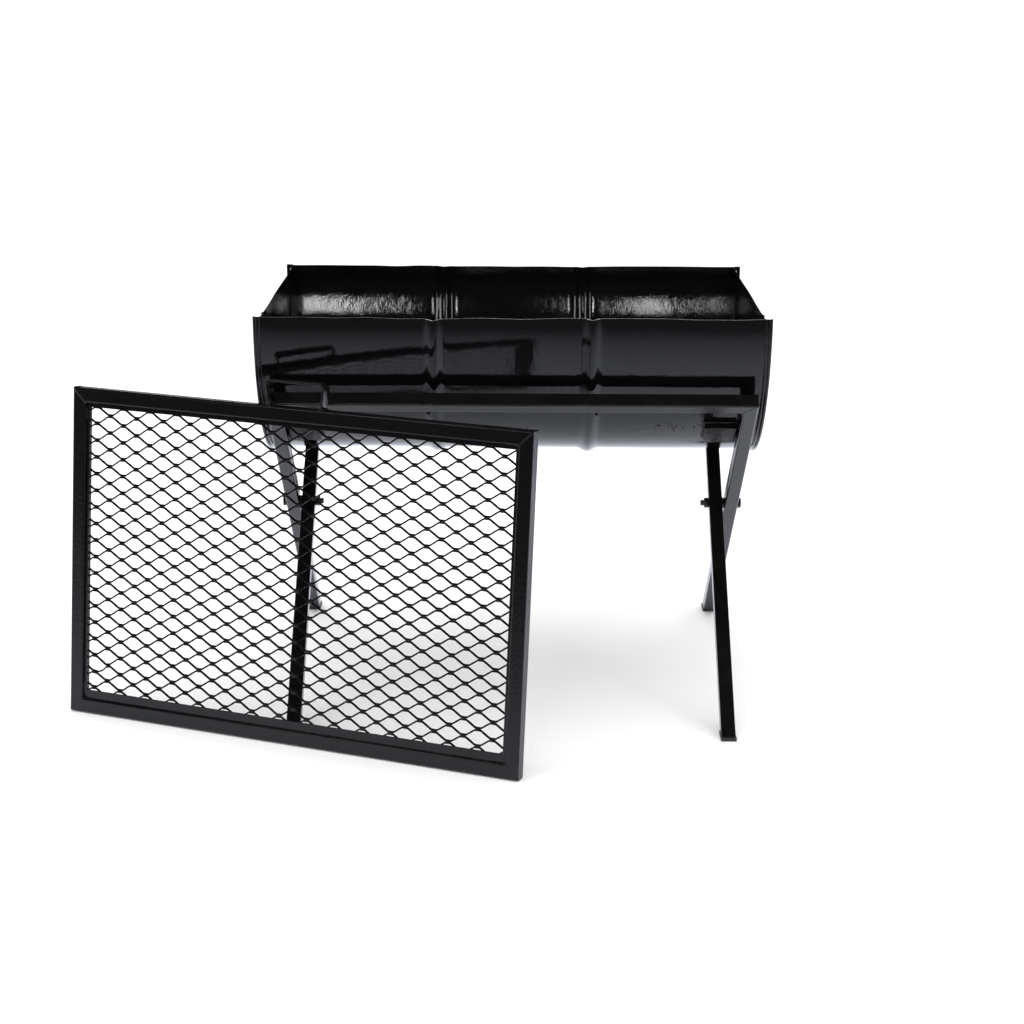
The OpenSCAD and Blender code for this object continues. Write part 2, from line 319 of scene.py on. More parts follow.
def joined(name, pieces):
    clear_bench()
    for piece in pieces:
        piece.select_set(True)
    bpy.context.view_layer.objects.active = pieces[0]
    bpy.ops.object.join()
    whole = bpy.context.object
    whole.name = name
    return whole


def from_node(node, name, flat_angle=1.0):
    """A copy of a node with its loose triangles merged and its flat faces made whole"""
    twin = copy_of(frame["nodes"][node], name)
    twin.parent = None
    twin.matrix_world = Matrix.Identity(4)
    twin.data.materials.clear()
    for key in list(twin.keys()):
        if key.startswith("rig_"):
            del twin[key]
    take(twin)
    bpy.ops.object.mode_set(mode="EDIT")
    bpy.ops.mesh.select_all(action="SELECT")
    bpy.ops.mesh.remove_doubles(threshold=0.02 * MM)
    bpy.ops.mesh.dissolve_limited(angle_limit=math.radians(flat_angle))
    face_outwards()
    return twin


def finished(obj, body, slot, material, *nodes, angle=35):
    """Gives a piece its paint, its body and the nodes that it stands for"""
    take(obj)
    bpy.ops.object.shade_smooth_by_angle(angle=math.radians(angle))
    obj.data.materials.clear()
    obj.data.materials.append(material)
    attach(obj, body)
    if nodes:
        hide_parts(*nodes)
    clear_bench()
    return obj


def on_grid():
    """Where the grid leans: X along it, Y to its back and Z up its face"""
    grid = bpy.context.scene.camp_grid
    return (
        Matrix.Translation(Vector(grid.corner))
        @ Matrix.Rotation(grid.turn, 4, "Z")
        @ Matrix.Rotation(-grid.lean, 4, "X")
    )


# ---- Finishes -----------------------------------------------------------------


def group_tree(name, inputs, outputs):
    """An empty node group with these sockets, given as name: default"""
    tree = bpy.data.node_groups.new(name, "ShaderNodeTree")
    for label, value in inputs.items():
        kind = "NodeSocketFloat" if isinstance(value, float) else "NodeSocketColor"
        tree.interface.new_socket(label, in_out="INPUT", socket_type=kind).default_value = value
    for label, kind in outputs.items():
        tree.interface.new_socket(label, in_out="OUTPUT", socket_type=kind)
    return tree, tree.nodes.new("NodeGroupInput"), tree.nodes.new("NodeGroupOutput")


def add_node(tree, kind, **values):
    item = tree.nodes.new(kind)
    for key, value in values.items():
        setattr(item, key, value)
    return item


def wire(tree, source, target):
    tree.links.new(source, target)


def sums(tree, operation, first, second):
    """One step of arithmetic on sockets or plain numbers"""
    item = add_node(tree, "ShaderNodeMath", operation=operation)
    for socket, value in zip(item.inputs, (first, second)):
        if isinstance(value, (int, float)):
            socket.default_value = value
        else:
            wire(tree, value, socket)
    return item.outputs[0]


def spread(tree, value, low, high, to_low, to_high):
    item = add_node(tree, "ShaderNodeMapRange", clamp=True, interpolation_type="SMOOTHSTEP")
    wire(tree, value, item.inputs["Value"])
    for label, number in (("From Min", low), ("From Max", high), ("To Min", to_low), ("To Max", to_high)):
        item.inputs[label].default_value = number
    return item.outputs["Result"]


def noise(tree, place, scale, detail=2.0, rough=0.5):
    item = add_node(tree, "ShaderNodeTexNoise")
    wire(tree, place, item.inputs["Vector"])
    if isinstance(scale, (int, float)):
        item.inputs["Scale"].default_value = scale
    else:
        wire(tree, scale, item.inputs["Scale"])
    item.inputs["Detail"].default_value = detail
    item.inputs["Roughness"].default_value = rough
    return item.outputs["Fac"]


def blend_colour(tree, mask, first, second):
    item = add_node(tree, "ShaderNodeMix", data_type="RGBA")
    for socket, value in ((item.inputs[0], mask), (item.inputs[6], first), (item.inputs[7], second)):
        if isinstance(value, tuple):
            socket.default_value = value
        else:
            wire(tree, value, socket)
    return item.outputs[2]


def orange_peel_group():
    """Fine ripple of sprayed paint, with slow runs down the upright faces"""
    tree, given, out = group_tree(
        "Orange peel", {"Grain": 420.0, "Peel": 1.0, "Runs": 0.5}, {"Height": "NodeSocketFloat"}
    )
    place = add_node(tree, "ShaderNodeTexCoord").outputs["Object"]
    fine = noise(tree, place, given.outputs["Grain"], 2.0, 0.55)
    broad = noise(tree, place, sums(tree, "MULTIPLY", given.outputs["Grain"], 0.19), 1.0)
    both = sums(tree, "ADD", fine, sums(tree, "MULTIPLY", broad, 1.6))
    peel = sums(tree, "MULTIPLY", both, given.outputs["Peel"])
    stretch = add_node(tree, "ShaderNodeMapping")
    stretch.inputs["Scale"].default_value = (1.0, 1.0, 0.09)
    wire(tree, place, stretch.inputs["Vector"])
    run = spread(tree, noise(tree, stretch.outputs[0], 62.0, 1.0), 0.56, 0.72, 0.0, 1.0)
    height = sums(tree, "ADD", peel, sums(tree, "MULTIPLY", run, given.outputs["Runs"]))
    wire(tree, height, out.inputs["Height"])
    return tree


def edge_wear_group():
    """Mask of the sharp edges where paint is thin, broken up by a noise"""
    tree, given, out = group_tree("Edge wear", {"Amount": 0.5, "Break": 90.0}, {"Mask": "NodeSocketFloat"})
    place = add_node(tree, "ShaderNodeTexCoord").outputs["Object"]
    rounded = add_node(tree, "ShaderNodeBevel", samples=4)
    rounded.inputs["Radius"].default_value = 0.0016
    facing = add_node(tree, "ShaderNodeNewGeometry")
    alike = add_node(tree, "ShaderNodeVectorMath", operation="DOT_PRODUCT")
    wire(tree, rounded.outputs["Normal"], alike.inputs[0])
    wire(tree, facing.outputs["Normal"], alike.inputs[1])
    edge = spread(tree, alike.outputs["Value"], 0.995, 0.93, 0.0, 1.0)
    broken = spread(tree, noise(tree, place, given.outputs["Break"], 4.0, 0.62), 0.42, 0.66, 0.0, 1.0)
    mask = sums(tree, "MULTIPLY", sums(tree, "MULTIPLY", edge, broken), given.outputs["Amount"])
    wire(tree, mask, out.inputs["Mask"])
    return tree


def dust_group():
    """Mask of the dust that lies on faces that look up, and of faint haze elsewhere"""
    tree, given, out = group_tree("Dust", {"Amount": 0.3, "Haze": 0.1}, {"Mask": "NodeSocketFloat"})
    place = add_node(tree, "ShaderNodeTexCoord").outputs["Object"]
    facing = add_node(tree, "ShaderNodeNewGeometry")
    split = add_node(tree, "ShaderNodeSeparateXYZ")
    wire(tree, facing.outputs["Normal"], split.inputs[0])
    up = spread(tree, split.outputs["Z"], 0.25, 0.95, 0.0, 1.0)
    patch = spread(tree, noise(tree, place, 14.0, 5.0, 0.68), 0.42, 0.75, 0.0, 1.0)
    grains = spread(tree, noise(tree, place, 900.0, 1.0), 0.60, 0.72, 0.0, 1.0)
    lying = sums(tree, "MULTIPLY", sums(tree, "MULTIPLY", up, patch), given.outputs["Amount"])
    haze = sums(tree, "MULTIPLY", sums(tree, "MULTIPLY", grains, patch), given.outputs["Haze"])
    wire(tree, sums(tree, "MAXIMUM", lying, haze), out.inputs["Mask"])
    return tree


def group_in(tree, name, builder, **values):
    """Places a shared group in a material and sets its values"""
    item = add_node(tree, "ShaderNodeGroup")
    item.node_tree = bpy.data.node_groups.get(name) or builder()
    for label, value in values.items():
        item.inputs[label.replace("_", " ").capitalize()].default_value = value
    return item


FINISHES = {
    # Each row: colour, sheen from and to, grain, peel, runs, relief, edge wear, dust, haze, specular level
    "Drum enamel": ("enamel", (0.03, 0.08), 340.0, 0.45, 0.4, 0.32, 0.0, 0.0, 0.02, 0.5),
    "Inner enamel": ("enamel", (0.04, 0.09), 300.0, 0.42, 0.0, 0.36, 0.0, 0.01, 0.02, 0.5),
    "Seam enamel": ("enamel", (0.08, 0.18), 520.0, 0.6, 0.0, 0.4, 0.35, 0.04, 0.03, 0.5),
    "Cut rim enamel": ("cut_rim", (0.20, 0.34), 600.0, 0.5, 0.0, 0.4, 0.8, 0.0, 0.0, 0.5),
    "Block paint": ("satin", (0.14, 0.30), 420.0, 1.0, 0.3, 0.8, 0.7, 0.03, 0.05, 0.22),
    "Stand paint": ("satin", (0.12, 0.24), 700.0, 0.5, 0.2, 0.35, 0.5, 0.04, 0.04, 0.5),
    "Grid paint": ("satin", (0.10, 0.18), 800.0, 0.6, 0.1, 0.4, 0.45, 0.04, 0.04, 0.4),
    # Handle row: edge wear at full amount paints pale glints along the handle's edges, partly worn paint and
    # partly painted highlight.
    "Handle paint": ("satin", (0.10, 0.18), 800.0, 0.6, 0.1, 0.4, 1.0, 0.04, 0.04, 0.5),
    "Mesh paint": ("satin", (0.20, 0.30), 1100.0, 0.7, 0.0, 0.3, 0.0, 0.0, 0.02, 0.2),
    "Weld paint": ("satin", (0.10, 0.24), 900.0, 0.9, 0.0, 0.5, 0.0, 0.03, 0.05, 0.5),
    "Blackened steel": ("satin", (0.22, 0.38), 1300.0, 0.5, 0.0, 0.5, 0.9, 0.08, 0.1, 0.5),
}


def painted(name):
    """Sprayed black paint: colour, sheen and ripple, with paler edges and dust on top. The paler edges are
    wear, and on the handle they are also painted glints
    """
    found = bpy.data.materials.get(name)
    if found:
        return found
    coat, gloss, grain, peel, runs, bump, wear, dust, haze, specular = FINISHES[name]
    paint = bpy.context.scene.camp_paint
    colour = tuple(getattr(paint, coat))
    material = bpy.data.materials.new(name)
    material.use_nodes = True
    tree = material.node_tree
    shader = tree.nodes["Principled BSDF"]
    place = add_node(tree, "ShaderNodeTexCoord").outputs["Object"]
    cloud = noise(tree, place, 7.0, 4.0, 0.6)
    deep = tuple(c * 0.72 for c in colour) + (1.0,)
    pale = tuple(c * 1.45 for c in colour) + (1.0,)
    base = blend_colour(tree, cloud, deep, pale)
    dusty = group_in(tree, "Dust", dust_group, amount=dust, haze=haze)
    base = blend_colour(tree, dusty.outputs["Mask"], base, tuple(paint.dust) + (1.0,))
    sheen = spread(tree, noise(tree, place, 23.0, 5.0, 0.65), 0.3, 0.75, gloss[0], gloss[1])
    sheen = sums(tree, "ADD", sheen, sums(tree, "MULTIPLY", dusty.outputs["Mask"], 0.5))
    # Pale colour at the edges: worn paint, and on the handle, where the amount is 1.0, also painted glints.
    if wear > 0:
        edge_wear_and_glint = group_in(tree, "Edge wear", edge_wear_group, amount=wear, **{"break": 95.0})
        base = blend_colour(tree, edge_wear_and_glint.outputs["Mask"], base, tuple(paint.bare_edge_and_glint) + (1.0,))
        sheen = sums(tree, "ADD", sheen, sums(tree, "MULTIPLY", edge_wear_and_glint.outputs["Mask"], 0.25))
    skin = group_in(tree, "Orange peel", orange_peel_group, grain=grain, peel=peel, runs=runs)
    relief = add_node(tree, "ShaderNodeBump")
    relief.inputs["Strength"].default_value = bump
    relief.inputs["Distance"].default_value = 0.0006
    wire(tree, skin.outputs["Height"], relief.inputs["Height"])
    wire(tree, base, shader.inputs["Base Color"])
    wire(tree, sheen, shader.inputs["Roughness"])
    wire(tree, relief.outputs["Normal"], shader.inputs["Normal"])
    shader.inputs["Specular IOR Level"].default_value = specular
    return material


def foot_plastic():
    """Moulded plastic with a fine spark-eroded grain and scuffs near the floor"""
    found = bpy.data.materials.get("Foot plastic")
    if found:
        return found
    paint = bpy.context.scene.camp_paint
    material = bpy.data.materials.new("Foot plastic")
    material.use_nodes = True
    tree = material.node_tree
    shader = tree.nodes["Principled BSDF"]
    place = add_node(tree, "ShaderNodeTexCoord").outputs["Object"]
    split = add_node(tree, "ShaderNodeSeparateXYZ")
    wire(tree, place, split.inputs[0])
    low = spread(tree, split.outputs["Z"], 0.008, 0.0, 0.0, 1.0)
    patchy = spread(tree, noise(tree, place, 160.0, 5.0, 0.7), 0.45, 0.7, 0.0, 0.7)
    scuff = sums(tree, "MULTIPLY", low, patchy)
    plain = tuple(paint.plastic) + (1.0,)
    paler = tuple(c * 1.7 for c in paint.plastic) + (1.0,)
    base = blend_colour(tree, noise(tree, place, 40.0, 3.0), plain, paler)
    base = blend_colour(tree, scuff, base, tuple(paint.dust) + (1.0,))
    relief = add_node(tree, "ShaderNodeBump")
    relief.inputs["Strength"].default_value = 0.35
    relief.inputs["Distance"].default_value = 0.0003
    wire(tree, noise(tree, place, 1500.0, 2.0), relief.inputs["Height"])
    wire(tree, base, shader.inputs["Base Color"])
    wire(tree, spread(tree, noise(tree, place, 60.0, 4.0), 0.3, 0.7, 0.42, 0.6), shader.inputs["Roughness"])
    wire(tree, relief.outputs["Normal"], shader.inputs["Normal"])
    return material


# ---- The drum -------------------------------------------------------------------


def hoop_rise(x, drum):
    """How far the skin stands out at this place along the drum"""
    for middle in (-drum.hoop_place, drum.hoop_place):
        away = abs(x - middle) / (drum.hoop_width / 2)
        if away < 1:
            bulge = 0.5 + 0.5 * math.cos(math.pi * away)
            return drum.hoop_height * bulge ** 0.8
    return 0.0


class CAMPGRILL_OT_drum_skin(Operator):
    """Rolls the half drum's skin with its two hoops, and cuts its rim by hand"""

    bl_idname = "campgrill.drum_skin"
    bl_label = "Drum skin"

    def execute(self, context):
        drum = context.scene.camp_drum
        end = DRUM_END - 0.0045
        places = [-end + i * 2 * end / 58 for i in range(59)]
        for middle in (-drum.hoop_place, drum.hoop_place):
            near = drum.hoop_width / 2 + 0.004
            places = [x for x in places if abs(x - middle) > near]
            places += [middle - drum.hoop_width / 2 + i * drum.hoop_width / 16 for i in range(17)]
        places.sort()
        middle, rim = DRUM_MIDDLE, DRUM_MIDDLE.y - drum.radius
        points = [(middle.x + x, rim - hoop_rise(x, drum), middle.z) for x in places]
        skin = draw_profile("drum_skin", points)
        spin_half(skin, 112)
        face_outwards()
        dent(skin, 0.21, drum.dents)
        self.cut_rim(skin, drum)
        modify(skin, "SOLIDIFY", thickness=drum.sheet, offset=-1.0)
        finished(skin, "drum", "drum_paint", painted("Drum enamel"), "drum_shell", angle=40)
        self.paint_inside(skin)
        return {"FINISHED"}

    def paint_inside(self, skin):
        """The inside was sprayed thicker, and the cut rim shows through thin paint"""
        skin.data.materials.append(painted("Inner enamel"))
        skin.data.materials.append(painted("Cut rim enamel"))
        for face in skin.data.polygons:
            outwards = face.center - DRUM_MIDDLE
            outwards.x = 0
            facing = face.normal.dot(outwards.normalized())
            if facing < -0.5:
                face.material_index = 1
            elif facing < 0.5 and face.normal.z > 0.5:
                face.material_index = 2

    def cut_rim(self, skin, drum):
        """Small steps and dips that a hand-held cutter leaves along the rim"""
        chance = random.Random(7)
        dips = [(side, hoop * drum.hoop_place, 0.016, -0.0022) for side in (-1, 1) for hoop in (-1, 1)]
        for side in (-1, 1):
            for place in range(-4, 5):
                reach = chance.uniform(0.05, 0.11)
                x = place * 0.1 + chance.uniform(-0.03, 0.03)
                dips.append((side, x, reach, chance.uniform(-0.0022, 0.0004)))
        for side, x, reach, drop in dips:
            spot = Vector((DRUM_MIDDLE.x + x, DRUM_MIDDLE.y + side * drum.radius, DRUM_MIDDLE.z))
            push(skin, spot, (0, 0, drop), reach)


def half_turned(name, profile, closed, steps=112):
    """Turns a profile, given as place along the drum and radius, half round the drum"""
    points = [(DRUM_MIDDLE.x + x, DRUM_MIDDLE.y - r, DRUM_MIDDLE.z) for x, r in profile]
    piece = draw_profile(name, points, closed)
    spin_half(piece, steps)
    return piece


class CAMPGRILL_OT_end_seams(Operator):
    """Rolls the double seam round each end of the drum"""

    bl_idname = "campgrill.end_seams"
    bl_label = "End seams"

    def execute(self, context):
        drum = context.scene.camp_drum
        steps_out = [
            (0.0, -4.6), (-0.1, 0.6), (-0.7, 3.0), (-2.2, 4.5), (-4.2, 4.6), (-5.8, 3.5), (-6.8, 1.9),
            (-8.2, 2.5), (-10.0, 2.3), (-11.6, 1.2), (-12.4, -0.2), (-12.4, -1.5), (-4.6, -1.5),
            (-2.8, -4.4), (-1.4, -5.2),
        ]
        profile = [(DRUM_END + x * MM, drum.radius + r * MM) for x, r in steps_out]
        seam = half_turned("end_seam_right", profile, True)
        for side in (-1, 1):
            close = (
                lambda e, s=side: abs(edge_middle(seam, e).z - DRUM_MIDDLE.z) < 0.05 * MM
                and (edge_middle(seam, e).y - DRUM_MIDDLE.y) * s > 0
            )
            pick(seam, "EDGE", close)
            bpy.ops.mesh.edge_face_add()
        face_outwards()
        dent(seam, 0.09, 0.0007)
        left = mirrored(seam, "end_seam_left")
        finished(seam, "drum", "drum_paint", painted("Seam enamel"), "seam_right", angle=50)
        finished(left, "drum", "drum_paint", painted("Seam enamel"), "seam_left", angle=50)
        return {"FINISHED"}


class CAMPGRILL_OT_end_discs(Operator):
    """Presses the end discs, with a corner radius, a raised ring and a slight bow"""

    bl_idname = "campgrill.end_discs"
    bl_label = "End discs"

    def execute(self, context):
        drum = context.scene.camp_drum
        face = DRUM_END - drum.disc_depth
        wall = drum.radius - drum.sheet - 0.0003
        corner = [(6.0, 0.0), (2.8, 0.8), (0.8, 3.0), (0.0, 6.4)]
        ring = [(0.0, 27.0), (0.9, 31.0), (2.7, 34.5), (3.0, 38.0), (2.7, 41.5), (0.9, 45.0), (0.0, 49.0)]
        bowed = [(-0.4, 90.0), (-0.8, 135.0), (-1.0, 180.0), (-1.0, 225.0)]
        profile = [(DRUM_END - 0.0012, wall)]
        profile += [(face + out * MM, wall - inward * MM) for out, inward in corner + ring + bowed]
        profile.append((face - 0.001, 0.0))
        disc = half_turned("end_disc_panel_right", profile, False)
        face_outwards()
        if sum(p.normal.x * p.area for p in disc.data.polygons) < 0:
            take(disc)
            bpy.ops.object.mode_set(mode="EDIT")
            bpy.ops.mesh.select_all(action="SELECT")
            bpy.ops.mesh.flip_normals()
            bpy.ops.object.mode_set(mode="OBJECT")
        bow = Vector((DRUM_MIDDLE.x + face, DRUM_MIDDLE.y + 0.02, DRUM_MIDDLE.z))
        push(disc, bow, (0.0018, 0, 0), 0.21)
        dent(disc, 0.17, 0.0012)
        modify(disc, "SOLIDIFY", thickness=drum.sheet, offset=-1.0)
        left = mirrored(disc, "end_disc_panel_left")
        finished(disc, "drum", "drum_paint", painted("Drum enamel"), "end_disc_right", angle=40)
        finished(left, "drum", "drum_paint", painted("Drum enamel"), "end_disc_left", angle=40)
        return {"FINISHED"}


class CAMPGRILL_OT_locating_blocks(Operator):
    """Rounds the edges of the two blocks that hold the drum between the legs"""

    bl_idname = "campgrill.locating_blocks"
    bl_label = "Locating blocks"

    def execute(self, context):
        for side in ("left", "right"):
            block = from_node("block_" + side, "locating_block_" + side, 4.0)
            bevel(block, 0.0016, 3, 50)
            finished(block, "drum", "stand_paint", painted("Block paint"), "block_" + side)
        return {"FINISHED"}


# ---- The stand ------------------------------------------------------------------


class CAMPGRILL_OT_stand_frames(Operator):
    """Paints the tubes of both frames of the stand"""

    bl_idname = "campgrill.stand_frames"
    bl_label = "Stand frames"

    def execute(self, context):
        for rail, leg in (("front_rail", "outer_leg_"), ("rear_rail", "inner_leg_")):
            for node in (rail, leg + "left", leg + "right"):
                repaint(node, painted("Stand paint"))
        return {"FINISHED"}


def repaint(node, material):
    piece = frame["nodes"][node]
    piece.data.materials.clear()
    piece.data.materials.append(material)


class CAMPGRILL_OT_crossing_bolts(Operator):
    """Chamfers the bolts, nuts and washers, and cuts a thread on each bolt's end"""

    bl_idname = "campgrill.crossing_bolts"
    bl_label = "Crossing bolts"

    def execute(self, context):
        for node, name, chamfer in (
            ("pivot_bolts", "crossing_bolts", 0.0008),
            ("pivot_nuts", "crossing_nuts", 0.0007),
            ("pivot_washers", "crossing_washers", 0.0004),
        ):
            piece = from_node(node, name, 0.5)
            bevel(piece, chamfer, 2, 40)
            if node == "pivot_bolts":
                thread = self.thread()
                piece = joined(name, [piece, thread, mirrored(thread, "thread_ridge_left")])
            finished(piece, "outer_frame", "fastener", painted("Blackened steel"), node, angle=40)
        return {"FINISHED"}

    def thread(self):
        """Four ridges near the tip of the right bolt"""
        pitch = 0.0013
        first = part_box("pivot_nuts")[1].x - 0.0092
        clear_bench()
        bpy.ops.mesh.primitive_torus_add(
            major_radius=0.0050, minor_radius=0.00045, major_segments=24, minor_segments=6,
            location=(first, STAND_MIDDLE.y, STAND_MIDDLE.z), rotation=(0, math.radians(90), 0),
        )
        thread = bpy.context.object
        thread.name = "thread_ridge"
        settle(thread, thread.matrix_world.copy())
        repeat(thread, 4, (-pitch, 0, 0))
        return thread


class CAMPGRILL_OT_foot_caps(Operator):
    """Rounds the four plastic foot caps"""

    bl_idname = "campgrill.foot_caps"
    bl_label = "Foot caps"

    def execute(self, context):
        for frame_name in ("outer", "inner"):
            for side in ("left", "right"):
                node = frame_name + "_foot_cap_" + side
                cap = from_node(node, frame_name + "_foot_shoe_" + side, 1.0)
                bevel(cap, 0.0015, 3, 35)
                finished(cap, frame_name + "_frame", "foot_cap", foot_plastic(), node)
        return {"FINISHED"}


# ---- The cooking grid -------------------------------------------------------------


class CAMPGRILL_OT_grid_frame(Operator):
    """Paints the tubes and the mesh strips of the cooking grid"""

    bl_idname = "campgrill.grid_frame"
    bl_label = "Grid frame"

    def execute(self, context):
        for side in ("top", "bottom", "left", "right"):
            repaint("grid_tube_" + side, painted("Grid paint"))
            repaint("mesh_strip_" + side, painted("Grid paint"))
        return {"FINISHED"}


def mesh_knot(grid):
    """One knot of expanded metal with the near halves of its four strands"""
    thick = 0.0021
    half_x, half_z, tilt = 0.0038, grid.strand * 0.98, 0.0011
    clear_bench()
    bpy.ops.mesh.primitive_cube_add(size=1.0, location=(0, 0, 0), scale=(2 * half_x, thick, 2 * half_z))
    knot = bpy.context.object
    knot.name = "mesh_knot"
    bpy.ops.object.transform_apply(location=True, rotation=True, scale=True)
    bpy.ops.object.mode_set(mode="EDIT")
    bpy.ops.mesh.select_all(action="SELECT")
    bpy.ops.mesh.bisect(plane_co=(0, 0, 0), plane_no=(0, 0, 1))
    bpy.ops.object.mode_set(mode="OBJECT")
    for up in (-1, 1):
        pick(knot, "VERT", lambda v: v.co.z * up > half_z * 0.5)
        bpy.ops.transform.translate(value=(0, tilt * up, 0))
        bpy.ops.object.mode_set(mode="OBJECT")
    reach_x, reach_z = grid.long_pitch / 4, grid.short_pitch / 4
    for along in (-1, 1):
        for up in (-1, 1):
            pick(
                knot, "FACE",
                lambda f: f.normal.x * along > 0.9 and f.center.z * up > 0 and abs(f.center.x) > half_x * 0.9
                and abs(f.center.x) < half_x * 1.1,
            )
            near = Vector((along * half_x, up * tilt / 2, up * half_z / 2))
            mid = Vector((along * (half_x + 0.0022), up * tilt * 0.45, up * (half_z / 2 + 0.0007)))
            far = Vector((along * reach_x, 0, up * reach_z))
            bpy.ops.mesh.extrude_region_move(TRANSFORM_OT_translate={"value": mid - near})
            bpy.ops.mesh.extrude_region_move(TRANSFORM_OT_translate={"value": far - mid})
            bpy.ops.transform.resize(value=(1, 1, 1.08), center_override=far)
            bpy.ops.mesh.delete(type="FACE")
            bpy.ops.object.mode_set(mode="OBJECT")
    return knot


class CAMPGRILL_OT_expanded_mesh(Operator):
    """Slits and draws the expanded metal: one knot, repeated and trimmed to the frame"""

    bl_idname = "campgrill.expanded_mesh"
    bl_label = "Expanded mesh"

    def execute(self, context):
        grid = context.scene.camp_grid
        edge = grid.tube + 0.0002
        first_x, first_z = grid.first_knot
        knot = mesh_knot(grid)
        twin = copy_of(knot, "mesh_knot_between")
        settle(twin, Matrix.Translation((grid.long_pitch / 2, 0, grid.short_pitch / 2)))
        pair = joined("expanded_mesh", [knot, twin])
        columns = int(grid.width / grid.long_pitch) + 2
        rows = int(grid.height / grid.short_pitch) + 2
        for count, step in ((columns, (grid.long_pitch, 0, 0)), (rows, (0, 0, grid.short_pitch))):
            repeat(pair, count, step, use_merge_vertices=True, merge_threshold=0.05 * MM)
        settle(pair, Matrix.Translation((first_x - grid.long_pitch, 0, first_z)))
        bpy.ops.object.mode_set(mode="EDIT")
        bpy.ops.mesh.select_all(action="SELECT")
        bpy.ops.mesh.remove_doubles(threshold=0.05 * MM)
        cuts = (
            ((edge, 0, 0), (-1, 0, 0)), ((grid.width - edge, 0, 0), (1, 0, 0)),
            ((0, 0, edge), (0, 0, -1)), ((0, 0, grid.height - edge), (0, 0, 1)),
        )
        for place, outward in cuts:
            bpy.ops.mesh.select_all(action="SELECT")
            bpy.ops.mesh.bisect(plane_co=place, plane_no=outward, use_fill=True, clear_outer=True)
        face_outwards()
        self.spoil_a_diamond(pair, grid)
        settle(pair, on_grid() @ Matrix.Translation((0, grid.mesh_depth, 0)))
        bevel(pair, 0.0003, 1, 55)
        finished(pair, "grid", "mesh_paint", painted("Mesh paint"), "grid_mesh", angle=50)
        return {"FINISHED"}

    def spoil_a_diamond(self, sheet, grid):
        """One diamond near the lower left corner was pulled out of shape"""
        spot = Vector((grid.tube + 0.5 * grid.long_pitch, 0, grid.tube + 2.1 * grid.short_pitch))
        push(sheet, spot, (0.004, 0, -0.004), 0.024)


class CAMPGRILL_OT_grid_handle(Operator):
    """Bends the flat strip handle and welds it to the grid's long edge"""

    bl_idname = "campgrill.grid_handle"
    bl_label = "Grid handle"

    def execute(self, context):
        grid = context.scene.camp_grid
        thick, strip = 0.004, 0.022
        half = grid.handle_width / 2 + 0.0008 - thick / 2
        foot = half - 0.005
        top = grid.height + grid.handle_height - thick / 2
        bend = 0.010
        right = [(foot, grid.height - 0.0002), (half - 0.0007, top - bend)]
        for step in range(1, 7):
            turn = math.radians(15 * step)
            right.append((half - bend + bend * math.cos(turn), top - bend + bend * math.sin(turn)))
        line = [(-x, z) for x, z in right] + [(0.0, top - 0.0006)] + right[::-1]
        back = (grid.tube - strip) / 2
        handle = draw_profile("strip_handle", [(grid.width / 2 + x, back, z) for x, z in line])
        bpy.ops.mesh.select_all(action="SELECT")
        bpy.ops.mesh.extrude_region_move(TRANSFORM_OT_translate={"value": (0, strip, 0)})
        face_outwards()
        modify(handle, "SOLIDIFY", thickness=thick, offset=0.0)
        bevel(handle, 0.0009, 3, 50)
        settle(handle, on_grid())
        # The handle's finish paints pale glints along its edges.
        finished(handle, "grid", "grid_paint", painted("Handle paint"), "grid_handle", angle=40)
        return {"FINISHED"}


# ---- Welds --------------------------------------------------------------------------


def lay_bead(start, end, outward, width, height, seed, ripple=0.0030):
    """A run of weld from start to end, standing off the surface along outward"""
    start, end, outward = Vector(start), Vector(end), Vector(outward).normalized()
    along = end - start
    count = max(2, int(along.length / ripple))
    clear_bench()
    bpy.ops.mesh.primitive_uv_sphere_add(segments=10, ring_count=6, radius=1.0, location=(0, 0, 0))
    bead = bpy.context.object
    bead.scale = (ripple * 0.95, width / 2, height)
    bpy.ops.object.transform_apply(location=True, rotation=True, scale=True)
    bpy.ops.object.mode_set(mode="EDIT")
    pick(bead, "VERT", lambda v: v.co.z < -height * 0.2)
    bpy.ops.transform.resize(value=(1, 1, 0.4), center_override=(0, 0, 0))
    bpy.ops.object.mode_set(mode="OBJECT")
    repeat(bead, count, (along.length / (count - 1) if count > 1 else 0, 0, 0))
    uneven = bpy.data.textures.new("uneven", "CLOUDS")
    uneven.noise_scale = 0.006 + 0.001 * (seed % 5)
    modify(bead, "DISPLACE", texture=uneven, strength=height * 0.7, mid_level=0.5, texture_coords="LOCAL")
    bpy.data.textures.remove(uneven)
    across = outward.cross(along.normalized())
    turn = Matrix((along.normalized(), across, outward)).transposed().to_4x4()
    settle(bead, Matrix.Translation(start) @ turn)
    return bead


